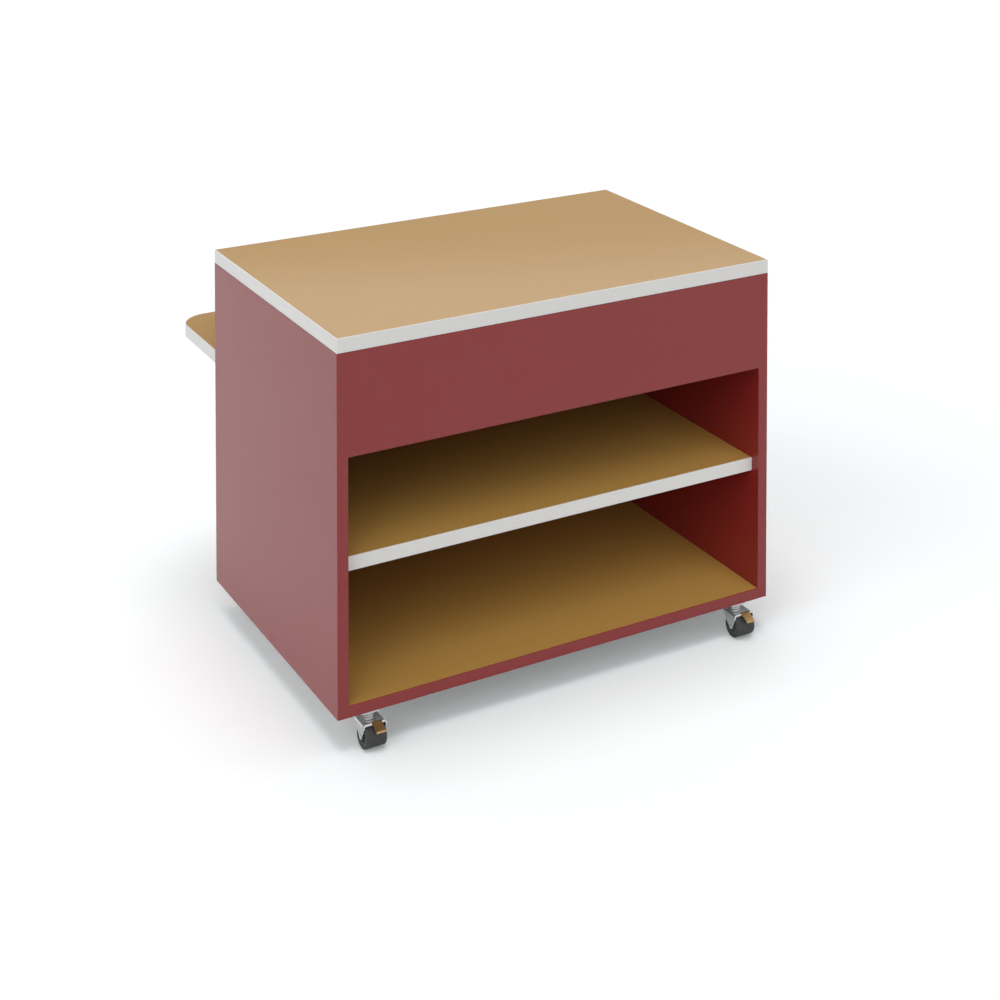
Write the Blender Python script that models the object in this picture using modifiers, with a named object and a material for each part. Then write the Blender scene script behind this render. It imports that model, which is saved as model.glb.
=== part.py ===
"""Mobile canteen counter: a laminated board carcass on four swivel casters, with a tray shelf behind it.

Metres, +Z up. The open serving side faces -Y, the tray shelf is on the +Y side, and the origin is on the
floor under the middle of the whole counter.
"""
import math

import bmesh
import bpy
from mathutils import Matrix, Vector

# Overall sizes
WIDTH = 1.100
DEPTH = 0.700
HEIGHT = 0.870
GAP = 0.0003  # joint line between pieces that touch

# Boards and edging strips
PANEL = 0.025
BACK_PANEL = 0.018
WORKTOP = 0.0316
SHELF = 0.0308
TRAY = 0.0308
EDGING = 0.002

# Carcass layout
FASCIA_HEIGHT = 0.220
UPPER_BAY = 0.220  # clear height between the middle shelf and the fascia
SHELF_SETBACK = 0.025

# Steel angles under the middle shelf
ANGLE_LEG = 0.025
ANGLE_SHEET = 0.0025
ANGLE_WIDTH = 0.030
ANGLE_INSET = 0.090  # from the shelf's front and rear ends

# Tray shelf and its brackets
TRAY_REACH = 0.264
TRAY_DROP = 0.242  # worktop face down to tray face
TRAY_CORNER = 0.070
BRACKET_SHEET = 0.004
BRACKET_WIDTH = 0.040
BRACKET_REACH = 0.205
BRACKET_HEIGHT = 0.150
BRACKET_NOSE = 0.016  # height of the web at the free end and at the foot
BRACKET_INSET = 0.170  # outer brackets, from the side faces
BRACKET_WELD = 0.0005  # depth the web sinks into each flange

# Caster places
CASTER_SIDE_INSET = 0.077
CASTER_END_INSET = 0.022
TRAIL = 0.0235  # swivel axis to axle

# Caster top plate, bearing and kingpin
PLATE_SIDE = 0.042
PLATE_SHEET = 0.003
PLATE_CORNER = 0.006
PLATE_HOLE_PITCH = 0.031
PLATE_HOLE = 0.0046
BEARING_DIAMETER = 0.034
BEARING_HEIGHT = 0.0115
BEARING_GROOVE = 0.0025
KINGPIN_DIAMETER = 0.008
KINGPIN_HEAD_DIAMETER = 0.014
KINGPIN_HEAD = 0.0025

# Wheel
WHEEL_DIAMETER = 0.050
WHEEL_WIDTH = 0.047
TYRE_THICKNESS = 0.008
TYRE_SHOULDER = 0.0015
CORE_HUB_DIAMETER = 0.014
CORE_RIM = 0.0035
CORE_RECESS = 0.005
CORE_INSET = 0.002  # rim face behind the tyre's side
AXLE_DIAMETER = 0.006
AXLE_HEAD_DIAMETER = 0.009
AXLE_HEAD = 0.0015

# Fork, bent from one sheet
FORK_SHEET = 0.002
FORK_BEND = 0.0055  # outer radius
FORK_SIDE_CLEARANCE = 0.0007
FORK_TOP_CLEARANCE = 0.004
FORK_TIP = 0.0055  # radius of the leg's end round the axle
FORK_NOSE = 0.013  # top sheet ahead of the axle
FORK_BROW = 0.0045  # legs ahead of the top sheet
FORK_BROW_DROP = 0.008
FORK_TAIL = 0.024  # top sheet behind the swivel axis
FORK_TAIL_START = 0.008
FORK_LEG_BACK = 0.0125  # legs behind the swivel axis

# Brake pedal
PEDAL_PIN_AHEAD = 0.0125  # ahead of the axle
PEDAL_PIN_BELOW = 0.0024  # below the fork's top sheet
PEDAL_PIN_DIAMETER = 0.003
PEDAL_PIN_HEAD_DIAMETER = 0.0048
PEDAL_PIN_HEAD = 0.001
PEDAL_BARREL_DIAMETER = 0.0074
PEDAL_SHEET = 0.0022
PEDAL_LENGTH = 0.023
PEDAL_SLOPE = math.radians(22)
PEDAL_LIP = 0.0024
PEDAL_LIP_SLOPE = math.radians(65)
PEDAL_WIDTH = 0.022
PEDAL_OFFSET = 0.005  # middle of the pedal, right of the wheel's middle
PEDAL_CLEARANCE = 0.0006  # to the notch that the pedal passes through
SHOE_START = 0.0065
SHOE_END = 0.012
SHOE_THICKNESS = 0.0041

# Fineness of round pieces
TYRE_STEPS = 32
ROUND_STEPS = 20
PIN_STEPS = 12
ARC_STEPS = 6
CORNER_STEPS = 10

# Levels, from the floor up
AXLE_HEIGHT = WHEEL_DIAMETER / 2
FORK_UNDER = WHEEL_DIAMETER + FORK_TOP_CLEARANCE
FORK_TOP = FORK_UNDER + FORK_SHEET
BEARING_BOTTOM = FORK_TOP + GAP
BEARING_TOP = BEARING_BOTTOM + BEARING_HEIGHT
PLATE_BOTTOM = BEARING_TOP + GAP
PLATE_TOP = PLATE_BOTTOM + PLATE_SHEET
CARCASS_BOTTOM = PLATE_TOP + GAP
CARCASS_TOP = HEIGHT - WORKTOP - GAP
FASCIA_BOTTOM = CARCASS_TOP - FASCIA_HEIGHT
SHELF_TOP = FASCIA_BOTTOM - UPPER_BAY
SHELF_BOTTOM = SHELF_TOP - SHELF
TRAY_TOP = HEIGHT - TRAY_DROP
TRAY_BOTTOM = TRAY_TOP - TRAY

# Widths of the caster's own pieces
FORK_INNER_HALF = WHEEL_WIDTH / 2 + FORK_SIDE_CLEARANCE
FORK_HALF = FORK_INNER_HALF + FORK_SHEET
CLEAR_BORE = 2 * GAP  # added to a pin's diameter for the hole round it

# The pedal's bent centre line, ahead of its pin: its upper face is level with the barrel's
PEDAL_RUN = Vector((-math.cos(PEDAL_SLOPE), -math.sin(PEDAL_SLOPE)))
PEDAL_UP = Vector((-math.sin(PEDAL_SLOPE), math.cos(PEDAL_SLOPE)))
PEDAL_START = (PEDAL_BARREL_DIAMETER - PEDAL_SHEET) / 2 * PEDAL_UP
PEDAL_KNEE = PEDAL_START + PEDAL_LENGTH * PEDAL_RUN
PEDAL_TIP = PEDAL_KNEE - PEDAL_LIP * Vector((math.cos(PEDAL_LIP_SLOPE), math.sin(PEDAL_LIP_SLOPE)))
PEDAL_PIN_HEIGHT = FORK_UNDER - PEDAL_PIN_BELOW

# Front to back: the box from the pedals' tips to the tray's edge is centred on the origin
PEDAL_FOREMOST = -PEDAL_TIP.x + PEDAL_SHEET / 2 * math.sin(PEDAL_LIP_SLOPE)
FRONT_REACH = TRAIL + PEDAL_PIN_AHEAD + PEDAL_FOREMOST - CASTER_END_INSET
FRONT = (FRONT_REACH - DEPTH - TRAY_REACH) / 2
REAR = FRONT + DEPTH
BACK_INNER = REAR - BACK_PANEL
LEFT = -WIDTH / 2
RIGHT = WIDTH / 2
INNER_LEFT = LEFT + PANEL
INNER_RIGHT = RIGHT - PANEL

# Turns a Z axis to X, and a drawn XY outline to the YZ and XZ planes
ALONG_X = Matrix.Rotation(math.pi / 2, 4, "Y")
IN_YZ = Matrix.Rotation(math.pi / 2, 4, "Z") @ Matrix.Rotation(math.pi / 2, 4, "X")
IN_XZ = Matrix.Rotation(math.pi / 2, 4, "X")
WELD_DISTANCE = 1e-6


def clear_scene():
    """Removes what the scene holds."""
    for obj in list(bpy.data.objects):
        bpy.data.objects.remove(obj, do_unlink=True)


def collection(name):
    """A new collection in the scene."""
    made = bpy.data.collections.new(name)
    bpy.context.scene.collection.children.link(made)
    return made


def material(name, colour, roughness, metallic=0.0):
    """A Principled material of one colour."""
    made = bpy.data.materials.new(name)
    made.use_nodes = True
    shader = made.node_tree.nodes["Principled BSDF"]
    shader.inputs["Base Color"].default_value = (*colour, 1.0)
    shader.inputs["Roughness"].default_value = roughness
    shader.inputs["Metallic"].default_value = metallic
    return made


def place(obj, where, finish=None, parent=None):
    """Moves an object to one collection, gives it its material and its parent."""
    for old in list(obj.users_collection):
        old.objects.unlink(obj)
    where.objects.link(obj)
    if finish:
        obj.data.materials.clear()
        obj.data.materials.append(finish)
    obj.parent = parent
    return obj


def box(name, low, high, finish, where):
    """A board or strip between two corners."""
    bpy.ops.mesh.primitive_cube_add(size=1.0)
    obj = bpy.context.object
    obj.name = name
    size = [b - a for a, b in zip(low, high)]
    middle = [(a + b) / 2 for a, b in zip(low, high)]
    obj.data.transform(Matrix.Diagonal((*size, 1.0)))
    obj.location = middle
    return place(obj, where, finish)


def arc(centre, radius, start, end, steps=ARC_STEPS):
    """Points of an arc in a plane, between two angles in degrees."""
    angles = [math.radians(start + (end - start) * i / steps) for i in range(steps + 1)]
    return [(centre[0] + radius * math.cos(a), centre[1] + radius * math.sin(a)) for a in angles]


def ring(centre, diameter, steps):
    """A closed circle of points."""
    return arc(centre, diameter / 2, 0, 360, steps)[:-1]


def settled(obj):
    """The evaluated shape of an object as a mesh with no loose seams; the object is removed."""
    evaluated = obj.evaluated_get(bpy.context.evaluated_depsgraph_get())
    mesh = bpy.data.meshes.new_from_object(evaluated)
    edit = bmesh.new()
    edit.from_mesh(mesh)
    bmesh.ops.remove_doubles(edit, verts=edit.verts, dist=WELD_DISTANCE)
    edit.to_mesh(mesh)
    edit.free()
    bpy.data.objects.remove(obj, do_unlink=True)
    return mesh


def prism(outlines, thickness, turn=Matrix.Identity(4)):
    """A flat outline, with any holes in it, as a plate of even thickness about its own plane."""
    curve = bpy.data.curves.new("outline", "CURVE")
    curve.dimensions = "2D"
    curve.fill_mode = "BOTH"
    curve.extrude = thickness / 2
    for points in outlines:
        spline = curve.splines.new("POLY")
        spline.points.add(len(points) - 1)
        spline.use_cyclic_u = True
        for point, (u, v) in zip(spline.points, points):
            point.co = (u, v, 0.0, 1.0)
    obj = bpy.data.objects.new("outline", curve)
    bpy.context.scene.collection.objects.link(obj)
    mesh = settled(obj)
    mesh.transform(turn)
    return mesh


def turned(profile, steps, closed, turn=Matrix.Identity(4)):
    """A shape turned round Z from (radius, height) points that run down its outer side."""
    mesh = bpy.data.meshes.new("profile")
    edges = [(i, i + 1) for i in range(len(profile) - 1)]
    if closed:
        edges.append((len(profile) - 1, 0))
    mesh.from_pydata([(radius, 0.0, height) for radius, height in profile], edges, [])
    obj = bpy.data.objects.new("profile", mesh)
    bpy.context.scene.collection.objects.link(obj)
    screw = obj.modifiers.new("turn", "SCREW")
    screw.steps = steps
    screw.render_steps = steps
    screw.use_merge_vertices = True
    screw.merge_threshold = WELD_DISTANCE
    result = settled(obj)
    result.transform(turn)
    result.shade_smooth()
    result.set_sharp_from_angle(angle=math.radians(35))
    return result


def pin(diameter, length, steps, turn=Matrix.Identity(4)):
    """A plain round bar about the middle of its own axis."""
    radius = diameter / 2
    return turned([(0.0, length / 2), (radius, length / 2), (radius, -length / 2), (0.0, -length / 2)],
                  steps, False, turn)


def joined(mesh, steps, cutters):
    """A mesh after a row of Boolean steps, each an operation with another mesh."""
    obj = bpy.data.objects.new("work", mesh)
    bpy.context.scene.collection.objects.link(obj)
    tools = []
    for operation, tool_mesh in steps:
        tool = bpy.data.objects.new("tool", tool_mesh)
        tool.hide_render = True
        tool.display_type = "WIRE"
        cutters.objects.link(tool)
        tools.append(tool)
        boolean = obj.modifiers.new(operation.lower(), "BOOLEAN")
        boolean.operation = operation
        boolean.solver = "EXACT"
        boolean.object = tool
    result = settled(obj)
    for tool in tools:
        bpy.data.objects.remove(tool, do_unlink=True)
    return result


def moved(mesh, offset):
    """A mesh shifted by an offset."""
    mesh.transform(Matrix.Translation(offset))
    return mesh


def solid(name, mesh, location, finish, where, parent=None):
    """An object of its own from a mesh, which it may share."""
    obj = bpy.data.objects.new(name, mesh)
    if not mesh.materials:
        mesh.materials.append(finish)
    where.objects.link(obj)
    obj.location = location
    obj.parent = parent
    return obj


def tangent_angle(point, centre, radius, side):
    """Angle in degrees, on a circle, where a line from an outside point touches it; side is +1 or -1."""
    away = Vector(point) - Vector(centre)
    return math.degrees(math.atan2(away.y, away.x) + side * math.acos(radius / away.length))


def make_carcass(parts, finishes):
    """Side panels, bottom, back and fascia, with their edging strips."""
    red, tan = finishes["red"], finishes["tan"]
    under, top = CARCASS_BOTTOM, CARCASS_TOP
    strip_back = FRONT + EDGING
    board_front = strip_back + GAP
    for name, low_x, high_x in (("left", LEFT, INNER_LEFT), ("right", INNER_RIGHT, RIGHT)):
        box(f"{name}_side_panel", (low_x, board_front, under), (high_x, REAR, top), red, parts)
        box(f"{name}_side_edging", (low_x, FRONT, under), (high_x, strip_back, top), red, parts)

    left = INNER_LEFT + GAP
    right = INNER_RIGHT - GAP
    back = BACK_INNER - GAP
    bottom_top = under + PANEL
    box("bottom_panel", (left, board_front, under), (right, back, bottom_top), tan, parts)
    box("bottom_edging", (left, FRONT, under), (right, strip_back, bottom_top), red, parts)
    box("back_panel", (left, BACK_INNER, under), (right, REAR, top), red, parts)

    fascia_back = FRONT + PANEL
    strip_top = FASCIA_BOTTOM + EDGING
    box("fascia_panel", (left, FRONT, strip_top + GAP), (right, fascia_back, top), red, parts)
    box("fascia_edging", (left, FRONT, FASCIA_BOTTOM), (right, fascia_back, strip_top), red, parts)


def make_shelf(parts, finishes):
    """Middle shelf with its edging strip, on four steel angles."""
    tan, pale = finishes["tan"], finishes["pale"]
    left = INNER_LEFT + GAP
    right = INNER_RIGHT - GAP
    front = FRONT + SHELF_SETBACK
    board_front = front + EDGING + GAP
    back = BACK_INNER - GAP
    box("middle_shelf", (left, board_front, SHELF_BOTTOM), (right, back, SHELF_TOP), tan, parts)
    box("shelf_edging", (left, front, SHELF_BOTTOM), (right, front + EDGING, SHELF_TOP), pale, parts)

    leg, sheet = ANGLE_LEG, ANGLE_SHEET
    outline = [(0, 0), (leg, 0), (leg, -sheet), (sheet, -sheet), (sheet, -leg), (0, -leg)]
    mirrored = [(-u, v) for u, v in reversed(outline)]
    top = SHELF_BOTTOM - GAP
    for side, points, x in (("left", outline, left), ("right", mirrored, right)):
        mesh = prism([points], ANGLE_WIDTH, IN_XZ)
        for end, y in (("front", front + ANGLE_INSET), ("rear", back - ANGLE_INSET)):
            solid(f"shelf_angle_{side}_{end}", mesh, (x, y, top), finishes["steel"], parts)


def make_worktop(parts, finishes):
    """Worktop board inside its four edging strips."""
    bottom = CARCASS_TOP + GAP
    inset = EDGING + GAP
    left, right = LEFT + inset, RIGHT - inset
    front, rear = FRONT + inset, REAR - inset
    pale = finishes["pale"]
    box("worktop_board", (left, front, bottom), (right, rear, HEIGHT), finishes["tan"], parts)
    box("worktop_front_edging", (LEFT, FRONT, bottom), (RIGHT, FRONT + EDGING, HEIGHT), pale, parts)
    box("worktop_rear_edging", (LEFT, REAR - EDGING, bottom), (RIGHT, REAR, HEIGHT), pale, parts)
    box("worktop_left_edging", (LEFT, front, bottom), (LEFT + EDGING, rear, HEIGHT), pale, parts)
    box("worktop_right_edging", (RIGHT - EDGING, front, bottom), (RIGHT, rear, HEIGHT), pale, parts)


def tray_outline(inset):
    """Left, rear and right sides of the tray shelf, drawn in by an inset, from its right end to its left."""
    near = REAR + GAP
    far = REAR + TRAY_REACH
    centre_x = RIGHT - TRAY_CORNER
    centre_y = far - TRAY_CORNER
    radius = TRAY_CORNER - inset
    right = arc((centre_x, centre_y), radius, 0, 90, CORNER_STEPS)
    left = arc((-centre_x, centre_y), radius, 90, 180, CORNER_STEPS)
    return [(RIGHT - inset, near)] + right + left + [(LEFT + inset, near)]


def make_tray(parts, finishes):
    """Tray shelf with its bent edging strip, on three welded brackets."""
    middle = (0, 0, TRAY_BOTTOM + TRAY / 2)
    board = prism([tray_outline(EDGING + GAP)], TRAY)
    solid("tray_board", board, middle, finishes["tan"], parts)
    strip = prism([tray_outline(0) + list(reversed(tray_outline(EDGING)))], TRAY)
    solid("tray_edging", strip, middle, finishes["pale"], parts)


def bracket_mesh(cutters):
    """An upright and a level flange with a web between them, welded into one piece."""
    sheet, weld = BRACKET_SHEET, BRACKET_WELD
    half = BRACKET_WIDTH / 2
    wall_face = [(-half, -BRACKET_HEIGHT), (half, -BRACKET_HEIGHT), (half, 0), (-half, 0)]
    upright = moved(prism([wall_face], sheet, IN_XZ), (0, sheet / 2, 0))
    tray_face = [(-half, weld), (half, weld), (half, BRACKET_REACH), (-half, BRACKET_REACH)]
    level = moved(prism([tray_face], sheet), (0, 0, -sheet / 2))
    near, top = sheet - weld, weld - sheet
    end, foot = BRACKET_REACH - BRACKET_NOSE, BRACKET_NOSE - BRACKET_HEIGHT
    side = [(near, top), (near, foot), (near + BRACKET_NOSE, foot), (end, -BRACKET_NOSE), (end, top)]
    web = prism([side], sheet, IN_YZ)
    return joined(upright, [("UNION", level), ("UNION", web)], cutters)


def make_brackets(parts, cutters, finishes):
    """Three brackets between the back panel and the tray shelf."""
    mesh = bracket_mesh(cutters)
    reach = RIGHT - BRACKET_INSET
    for name, x in (("left", -reach), ("middle", 0), ("right", reach)):
        solid(f"tray_bracket_{name}", mesh, (x, REAR + GAP, TRAY_BOTTOM - GAP), finishes["bracket"], parts)


def plate_mesh():
    """Top plate with a hole for the kingpin and one for each screw."""
    edge = PLATE_SIDE / 2 - PLATE_CORNER
    outline = []
    for x, y, start in ((edge, edge, 0), (-edge, edge, 90), (-edge, -edge, 180), (edge, -edge, 270)):
        outline += arc((x, y), PLATE_CORNER, start, start + 90)
    pitch = PLATE_HOLE_PITCH / 2
    holes = [ring((x, y), PLATE_HOLE, PIN_STEPS) for x in (-pitch, pitch) for y in (-pitch, pitch)]
    middle = ring((0, 0), KINGPIN_DIAMETER + CLEAR_BORE, ROUND_STEPS)
    return moved(prism([outline, middle] + holes, PLATE_SHEET), (0, 0, PLATE_BOTTOM + PLATE_SHEET / 2))


def bearing_mesh():
    """Swivel bearing: an upper and a lower race with a groove between them."""
    bore = (KINGPIN_DIAMETER + CLEAR_BORE) / 2
    outer = BEARING_DIAMETER / 2
    waist = outer - BEARING_GROOVE
    middle = (BEARING_BOTTOM + BEARING_TOP) / 2
    slit = BEARING_GROOVE / 2
    profile = [(bore, BEARING_TOP), (outer, BEARING_TOP), (outer, middle + 2 * slit), (waist, middle + slit),
               (waist, middle - slit), (outer - slit, middle - 2 * slit), (outer - slit, BEARING_BOTTOM),
               (bore, BEARING_BOTTOM)]
    return turned(profile, ROUND_STEPS, True)


def kingpin_mesh():
    """Kingpin, flush with the plate's upper face, with its head under the fork's top sheet."""
    shank = KINGPIN_DIAMETER / 2
    head = KINGPIN_HEAD_DIAMETER / 2
    head_top = FORK_UNDER - GAP
    head_bottom = head_top - KINGPIN_HEAD
    profile = [(0, PLATE_TOP), (shank, PLATE_TOP), (shank, head_top), (head, head_top), (head, head_bottom),
               (0, head_bottom)]
    return turned(profile, ROUND_STEPS, False)


def headed_pin(diameter, head_diameter, head):
    """A pin across both legs of the fork, with a head outside each leg."""
    shank, cap = diameter / 2, head_diameter / 2
    seat = FORK_HALF + GAP
    end = seat + head
    profile = [(0, end), (cap, end), (cap, seat), (shank, seat), (shank, -seat), (cap, -seat), (cap, -end),
               (0, -end)]
    return turned(profile, PIN_STEPS, False, ALONG_X)


def fork_section():
    """The fork's bent sheet seen from the front."""
    half, inner, bend = FORK_HALF, FORK_INNER_HALF, FORK_BEND
    low = AXLE_HEIGHT - 2 * FORK_TIP
    centre_z = FORK_TOP - bend
    right, left = (half - bend, centre_z), (bend - half, centre_z)
    outside = [(half, low)] + arc(right, bend, 0, 90) + arc(left, bend, 90, 180) + [(-half, low)]
    hollow = bend - FORK_SHEET
    inside = [(-inner, low)] + arc(left, hollow, 180, 90) + arc(right, hollow, 90, 0) + [(inner, low)]
    return outside + inside


def fork_side():
    """The fork's outline seen from the side: legs that taper to the axle under a longer top sheet."""
    axle = (-TRAIL, AXLE_HEIGHT)
    above = FORK_TOP + FORK_SHEET
    under = FORK_UNDER - GAP
    brow = (-TRAIL - FORK_NOSE - FORK_BROW, FORK_TOP - FORK_BROW_DROP)
    shoulder = (FORK_LEG_BACK, under)
    rear = FORK_TAIL + FORK_SHEET
    start = tangent_angle(brow, axle, FORK_TIP, 1)
    end = tangent_angle(shoulder, axle, FORK_TIP, -1)
    return ([(-TRAIL - FORK_NOSE, above), brow] + arc(axle, FORK_TIP, start, end + 360, CORNER_STEPS)
            + [shoulder, (rear, under), (rear, above)])


def fork_plan():
    """The fork's outline seen from above: straight sides and a round tail."""
    half = FORK_HALF + FORK_SHEET
    front = -TRAIL - FORK_NOSE - 2 * FORK_BROW
    tail = [(half * math.cos(a), FORK_TAIL_START + (FORK_TAIL - FORK_TAIL_START) * math.sin(a))
            for a in (math.pi * i / ROUND_STEPS for i in range(ROUND_STEPS + 1))]
    return [(half, front)] + tail + [(-half, front)]


def fork_mesh(braked, cutters):
    """Fork with holes for kingpin and axle and, on a braked caster, the pedal's pin hole and notch."""
    across = 2 * FORK_HALF + 4 * FORK_SHEET
    length = 2 * (TRAIL + FORK_NOSE + FORK_TAIL)
    tall = 2 * FORK_TOP + 4 * FORK_SHEET
    kingpin_hole = pin(KINGPIN_DIAMETER + CLEAR_BORE, tall, ROUND_STEPS)
    axle_hole = pin(AXLE_DIAMETER + CLEAR_BORE, across, PIN_STEPS, ALONG_X)
    steps = [("INTERSECT", prism([fork_side()], across, IN_YZ)),
             ("INTERSECT", prism([fork_plan()], tall)),
             ("DIFFERENCE", kingpin_hole),
             ("DIFFERENCE", moved(axle_hole, (0, -TRAIL, AXLE_HEIGHT)))]
    if braked:
        pin_hole = pin(PEDAL_PIN_DIAMETER + CLEAR_BORE, across, PIN_STEPS, ALONG_X)
        steps.append(("DIFFERENCE", moved(pin_hole, (0, -TRAIL - PEDAL_PIN_AHEAD, PEDAL_PIN_HEIGHT))))
        half = PEDAL_WIDTH / 2 + PEDAL_CLEARANCE
        back = PEDAL_BARREL_DIAMETER / 2 + PEDAL_CLEARANCE - TRAIL - PEDAL_PIN_AHEAD
        front = -TRAIL - FORK_NOSE - 2 * FORK_BROW
        notch = prism([[(-half, front), (half, front), (half, back), (-half, back)]], 4 * FORK_SHEET)
        steps.append(("DIFFERENCE", moved(notch, (PEDAL_OFFSET, 0, FORK_TOP))))
    return joined(prism([fork_section()], length, IN_XZ), steps, cutters)


def core_mesh():
    """Wheel core: a long hub, a recessed web and a rim."""
    bore = (AXLE_DIAMETER + CLEAR_BORE) / 2
    hub = CORE_HUB_DIAMETER / 2
    outer = WHEEL_DIAMETER / 2 - TYRE_THICKNESS - GAP
    rim = outer - CORE_RIM
    hub_end = WHEEL_WIDTH / 2
    rim_end = hub_end - CORE_INSET
    web = hub_end - CORE_RECESS
    half = [(bore, hub_end), (hub, hub_end), (hub, web), (rim, web), (rim, rim_end), (outer, rim_end)]
    return turned(half + [(radius, -height) for radius, height in reversed(half)], ROUND_STEPS, True, ALONG_X)


def tyre_mesh():
    """Tyre with round shoulders; a flat of the tread lies on the floor."""
    flats = 1 / math.cos(math.pi / TYRE_STEPS)
    inner = WHEEL_DIAMETER / 2 - TYRE_THICKNESS
    outer = WHEEL_DIAMETER / 2
    side = WHEEL_WIDTH / 2
    shoulder = arc((outer - TYRE_SHOULDER, side - TYRE_SHOULDER), TYRE_SHOULDER, 90, 0)
    half = [(inner, side - CORE_INSET)] + shoulder
    profile = [(radius * flats, height) for radius, height in half]
    profile += [(radius, -height) for radius, height in reversed(profile)]
    half_step = Matrix.Rotation(math.pi / TYRE_STEPS, 4, "Z")
    return turned(profile, TYRE_STEPS, True, ALONG_X @ half_step)


def pedal_mesh(cutters):
    """Brake pedal about its pin: a barrel, a sloping foot plate with a lip, and a shoe over the tyre."""
    half = PEDAL_SHEET / 2
    lip_up = Vector((-math.sin(PEDAL_LIP_SLOPE), math.cos(PEDAL_LIP_SLOPE)))
    bend = half / math.cos((PEDAL_LIP_SLOPE - PEDAL_SLOPE) / 2)
    knee_up = (PEDAL_UP + lip_up).normalized() * bend
    top = [PEDAL_START + half * PEDAL_UP, PEDAL_KNEE + knee_up, PEDAL_TIP + half * lip_up]
    under = [PEDAL_TIP - half * lip_up, PEDAL_KNEE - knee_up]
    sole = PEDAL_START - half * PEDAL_UP
    tread = sole - SHOE_THICKNESS * PEDAL_UP
    shoe = [sole + SHOE_END * PEDAL_RUN, tread + SHOE_END * PEDAL_RUN, tread + SHOE_START * PEDAL_RUN,
            sole + SHOE_START * PEDAL_RUN, sole]
    outline = [tuple(point) for point in top + under + shoe]
    barrel = pin(PEDAL_BARREL_DIAMETER, PEDAL_WIDTH, ROUND_STEPS, ALONG_X)
    bore = pin(PEDAL_PIN_DIAMETER + CLEAR_BORE, 4 * FORK_HALF, PIN_STEPS, ALONG_X)
    plate = prism([outline], PEDAL_WIDTH, IN_YZ)
    return moved(joined(barrel, [("UNION", plate), ("DIFFERENCE", bore)], cutters), (PEDAL_OFFSET, 0, 0))


def make_casters(parts, cutters, finishes):
    """Four casters, each under its own swivel empty; the front two have brakes."""
    chrome, grey, steel = finishes["chrome"], finishes["wheel"], finishes["steel"]
    plate, bearing, kingpin = plate_mesh(), bearing_mesh(), kingpin_mesh()
    axle = headed_pin(AXLE_DIAMETER, AXLE_HEAD_DIAMETER, AXLE_HEAD)
    pedal_pin = headed_pin(PEDAL_PIN_DIAMETER, PEDAL_PIN_HEAD_DIAMETER, PEDAL_PIN_HEAD)
    core, tyre, pedal = core_mesh(), tyre_mesh(), pedal_mesh(cutters)
    axle_place = (0, -TRAIL, AXLE_HEIGHT)
    pedal_place = (0, -TRAIL - PEDAL_PIN_AHEAD, PEDAL_PIN_HEIGHT)
    front, rear = FRONT + CASTER_END_INSET, REAR - CASTER_END_INSET
    for end, y, braked in (("front", front, True), ("rear", rear, False)):
        fork = fork_mesh(braked, cutters)
        for side, x in (("left", LEFT + CASTER_SIDE_INSET), ("right", RIGHT - CASTER_SIDE_INSET)):
            name = f"caster_{end}_{side}"
            swivel = bpy.data.objects.new(f"{name}_swivel", None)
            swivel.location = (x, y, 0)
            parts.objects.link(swivel)
            solid(f"{name}_plate", plate, (0, 0, 0), steel, parts, swivel)
            solid(f"{name}_bearing", bearing, (0, 0, 0), steel, parts, swivel)
            solid(f"{name}_kingpin", kingpin, (0, 0, 0), steel, parts, swivel)
            solid(f"{name}_fork", fork, (0, 0, 0), chrome, parts, swivel)
            solid(f"{name}_axle", axle, axle_place, steel, parts, swivel)
            solid(f"{name}_wheel_core", core, axle_place, grey, parts, swivel)
            solid(f"{name}_tyre", tyre, axle_place, finishes["tyre"], parts, swivel)
            if braked:
                solid(f"{name}_pedal_pin", pedal_pin, pedal_place, steel, parts, swivel)
                solid(f"{name}_brake_pedal", pedal, pedal_place, finishes["yellow"], parts, swivel)


def main():
    clear_scene()
    parts = collection("mobile_canteen_counter")
    cutters = collection("cutters")
    finishes = {
        "red": material("red_laminate", (0.215, 0.0155, 0.0155), 0.23),
        "tan": material("tan_laminate", (0.45, 0.256, 0.066), 0.18),
        "pale": material("pale_edging", (0.655, 0.65, 0.635), 0.33),
        "steel": material("zinc_steel", (0.60, 0.60, 0.61), 0.35, 1.0),
        "bracket": material("bracket_steel", (0.34, 0.34, 0.35), 0.48),
        "chrome": material("chrome", (0.74, 0.74, 0.75), 0.10, 1.0),
        "yellow": material("yellow_steel", (0.48, 0.32, 0.14), 0.33, 1.0),
        "wheel": material("wheel_plastic", (0.055, 0.055, 0.056), 0.46),
        "tyre": material("tyre_rubber", (0.031, 0.031, 0.032), 0.54),
    }
    make_carcass(parts, finishes)
    make_shelf(parts, finishes)
    make_worktop(parts, finishes)
    make_tray(parts, finishes)
    make_brackets(parts, cutters, finishes)
    make_casters(parts, cutters, finishes)


main()
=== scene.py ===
"""Looks of the mobile canteen counter: finishes, eased edges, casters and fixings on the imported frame."""
import math

import bmesh
import bpy
from mathutils import Matrix, Vector


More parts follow.
